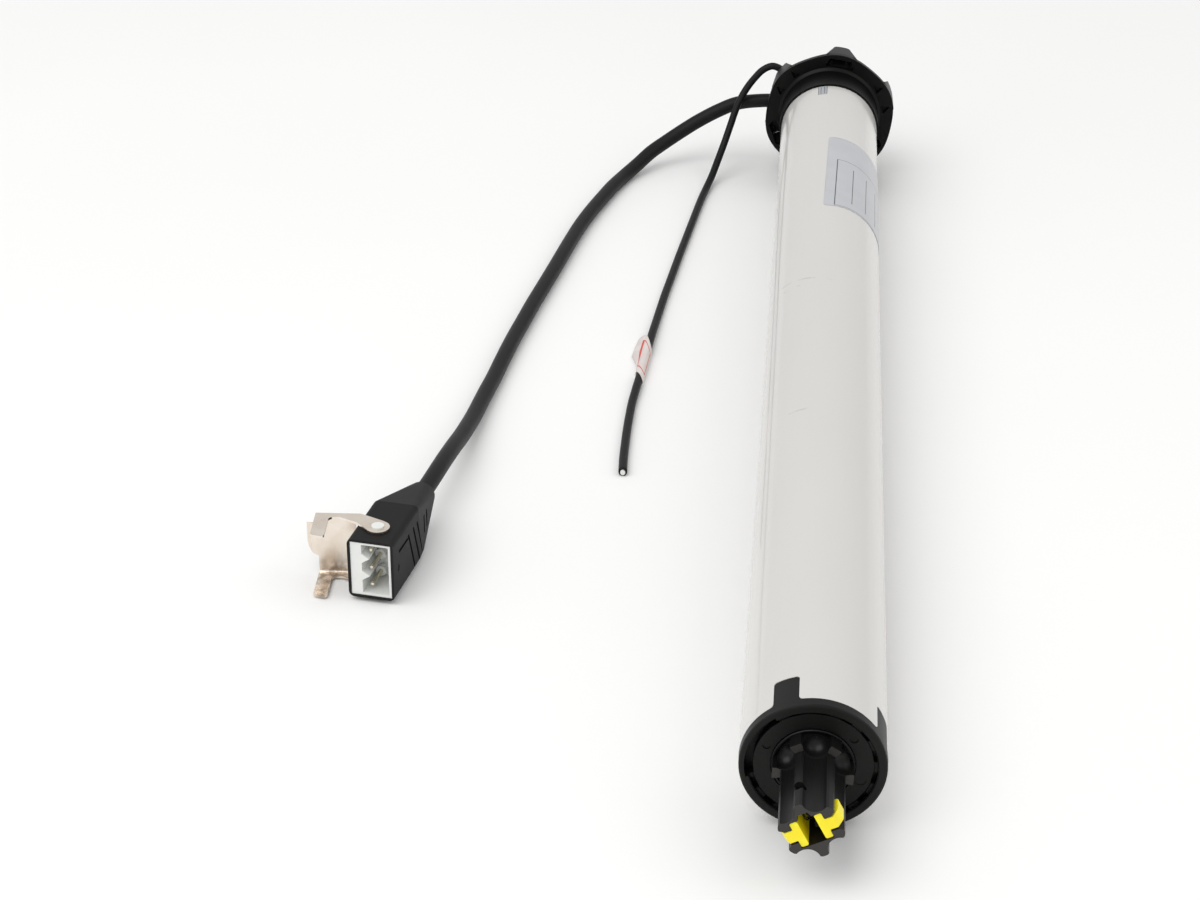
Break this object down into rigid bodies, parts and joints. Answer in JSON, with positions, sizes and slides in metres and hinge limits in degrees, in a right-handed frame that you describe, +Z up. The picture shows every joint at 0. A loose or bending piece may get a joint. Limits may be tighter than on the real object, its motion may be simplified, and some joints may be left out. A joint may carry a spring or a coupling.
{
  "type": "tubular roller blind motor",
  "caption": "Tubular motor for a roller blind: steel tube with a star-shaped drive shaft at one end, a free crown ring and head at the other, mains cord with plug, antenna cord.",
  "frame": {"origin": "centre of the mounting face at the rear of the head, on the motor's axis", "axes": "+Y along the motor's axis, out of the mounting face and away from the drive shaft; +Z up, nearly square to the surface it lies on; +X to the side away from the cords"},
  "size_m": [0.211, 0.59, 0.062],
  "materials": {
    "tube_paint": "satin",
    "label_film": "satin",
    "black_plastic": "fine grain",
    "yellow_plastic": "smooth",
    "steel": "machined",
    "sintered_bronze": "sintered",
    "cast_alloy": "die cast",
    "copper": "enamelled wire",
    "grey_plastic": "satin",
    "board_laminate": "lacquered",
    "cord_jacket": "satin",
    "white_plastic": "satin",
    "nickel": "plated",
    "spring_sheet": "rolled"
  },
  "bodies": {
    "motor": {"tube": "tube_paint", "rating_label": "label_film", "end_cap": "black_plastic", "output_bush": "sintered_bronze", "gear_housing": "cast_alloy", "front_shield": "cast_alloy", "front_bearing": "steel", "stator_core": "steel", "stator_windings": "copper", "rear_bearing": "steel", "rear_shield": "cast_alloy", "brake_plate": "steel", "brake_spring": "steel", "brake_coil": "copper", "brake_housing": "cast_alloy", "capacitor": "grey_plastic", "board_carrier": "black_plastic", "circuit_board": "board_laminate", "relay_block": "black_plastic", "terminal_block": "grey_plastic", "supply_leads": "copper", "tube_lock_ring": "grey_plastic", "head_body": "black_plastic", "head_cover": "black_plastic", "cover_screws": "steel", "mains_gland": "cord_jacket", "antenna_gland": "cord_jacket", "mains_cord": "cord_jacket", "antenna_cord": "cord_jacket", "antenna_core": "white_plastic", "marker_flag": "white_plastic", "plug_body": "black_plastic", "plug_insert": "white_plastic", "contact_pins": "nickel"},
    "rotor": {"rotor_shaft": "steel", "rotor_core": "steel", "motor_pinion": "steel", "brake_disc": "steel"},
    "first stage": {"first_carrier": "steel", "planet_pins_1": "steel"},
    "second stage": {"second_carrier": "steel", "planet_pins_2": "steel"},
    "output": {"output_carrier": "steel", "planet_pins_3": "steel", "drive_shaft": "black_plastic", "jaw_spring": "steel"},
    "right jaw": {"jaw_right": "yellow_plastic"},
    "left jaw": {"jaw_left": "yellow_plastic"},
    "crown": {"crown": "black_plastic"},
    "clip": {"locking_clip": "spring_sheet"},
    "planet 1a": {"planet_1a": "sintered_bronze"},
    "planet 1b": {"planet_1b": "sintered_bronze"},
    "planet 1c": {"planet_1c": "sintered_bronze"},
    "planet 2a": {"planet_2a": "sintered_bronze"},
    "planet 2b": {"planet_2b": "sintered_bronze"},
    "planet 2c": {"planet_2c": "sintered_bronze"},
    "planet 3a": {"planet_3a": "sintered_bronze"},
    "planet 3b": {"planet_3b": "sintered_bronze"},
    "planet 3c": {"planet_3c": "sintered_bronze"}
  },
  "joints": [
    {"name": "rotor_spin", "type": "hinge", "parent": "motor", "child": "rotor", "pos_m": [0, -0.4, 0], "axis": [0, 1, 0], "continuous": true},
    {"name": "first_carrier_spin", "type": "hinge", "parent": "motor", "child": "first stage", "pos_m": [0, -0.4805, 0], "axis": [0, 1, 0], "continuous": true},
    {"name": "second_carrier_spin", "type": "hinge", "parent": "motor", "child": "second stage", "pos_m": [0, -0.4961, 0], "axis": [0, 1, 0], "continuous": true},
    {"name": "drive_shaft_spin", "type": "hinge", "parent": "motor", "child": "output", "pos_m": [0, -0.55, 0], "axis": [0, 1, 0], "continuous": true},
    {"name": "planet_1a_spin", "type": "hinge", "parent": "first stage", "child": "planet 1a", "pos_m": [0.01073, -0.4737, 0], "axis": [0, 1, 0], "continuous": true},
    {"name": "planet_1b_spin", "type": "hinge", "parent": "first stage", "child": "planet 1b", "pos_m": [-0.00536, -0.4737, 0.00929], "axis": [0, 1, 0], "continuous": true},
    {"name": "planet_1c_spin", "type": "hinge", "parent": "first stage", "child": "planet 1c", "pos_m": [-0.00536, -0.4737, -0.00929], "axis": [0, 1, 0], "continuous": true},
    {"name": "planet_2a_spin", "type": "hinge", "parent": "second stage", "child": "planet 2a", "pos_m": [0.01073, -0.4883, 0], "axis": [0, 1, 0], "continuous": true},
    {"name": "planet_2b_spin", "type": "hinge", "parent": "second stage", "child": "planet 2b", "pos_m": [-0.00536, -0.4883, 0.00929], "axis": [0, 1, 0], "continuous": true},
    {"name": "planet_2c_spin", "type": "hinge", "parent": "second stage", "child": "planet 2c", "pos_m": [-0.00536, -0.4883, -0.00929], "axis": [0, 1, 0], "continuous": true},
    {"name": "planet_3a_spin", "type": "hinge", "parent": "output", "child": "planet 3a", "pos_m": [0.01073, -0.5079, 0], "axis": [0, 1, 0], "continuous": true},
    {"name": "planet_3b_spin", "type": "hinge", "parent": "output", "child": "planet 3b", "pos_m": [-0.00536, -0.5079, 0.00929], "axis": [0, 1, 0], "continuous": true},
    {"name": "planet_3c_spin", "type": "hinge", "parent": "output", "child": "planet 3c", "pos_m": [-0.00536, -0.5079, -0.00929], "axis": [0, 1, 0], "continuous": true},
    {"name": "jaw_right_slide", "type": "slide", "parent": "output", "child": "right jaw", "axis": [-0.891, 0, -0.454], "range_m": [0, 0.0012], "stiffness_N_per_m": 600, "springref_m": -0.001, "deforming": ["jaw_spring"]},
    {"name": "jaw_left_slide", "type": "slide", "parent": "output", "child": "left jaw", "axis": [0.891, 0, 0.454], "range_m": [0, 0.0012], "stiffness_N_per_m": 600, "springref_m": -0.001},
    {"name": "crown_spin", "type": "hinge", "parent": "motor", "child": "crown", "pos_m": [0, -0.03, 0], "axis": [0, 1, 0], "continuous": true},
    {"name": "clip_swing", "type": "hinge", "parent": "motor", "child": "clip", "pos_m": [-0.15258, -0.43132, -0.01141], "axis": [0, 0.0159, 0.9999], "range_deg": [-10, 77]}
  ],
  "couplings": [
    {"joint": "first_carrier_spin", "follows": "rotor_spin", "ratio": 0.18182},
    {"joint": "second_carrier_spin", "follows": "rotor_spin", "ratio": 0.033058},
    {"joint": "drive_shaft_spin", "follows": "rotor_spin", "ratio": 0.0060105},
    {"joint": "planet_1a_spin", "follows": "rotor_spin", "ratio": -0.46753},
    {"joint": "planet_1b_spin", "follows": "rotor_spin", "ratio": -0.46753},
    {"joint": "planet_1c_spin", "follows": "rotor_spin", "ratio": -0.46753},
    {"joint": "planet_2a_spin", "follows": "rotor_spin", "ratio": -0.085006},
    {"joint": "planet_2b_spin", "follows": "rotor_spin", "ratio": -0.085006},
    {"joint": "planet_2c_spin", "follows": "rotor_spin", "ratio": -0.085006},
    {"joint": "planet_3a_spin", "follows": "rotor_spin", "ratio": -0.015456},
    {"joint": "planet_3b_spin", "follows": "rotor_spin", "ratio": -0.015456},
    {"joint": "planet_3c_spin", "follows": "rotor_spin", "ratio": -0.015456}
  ]
}
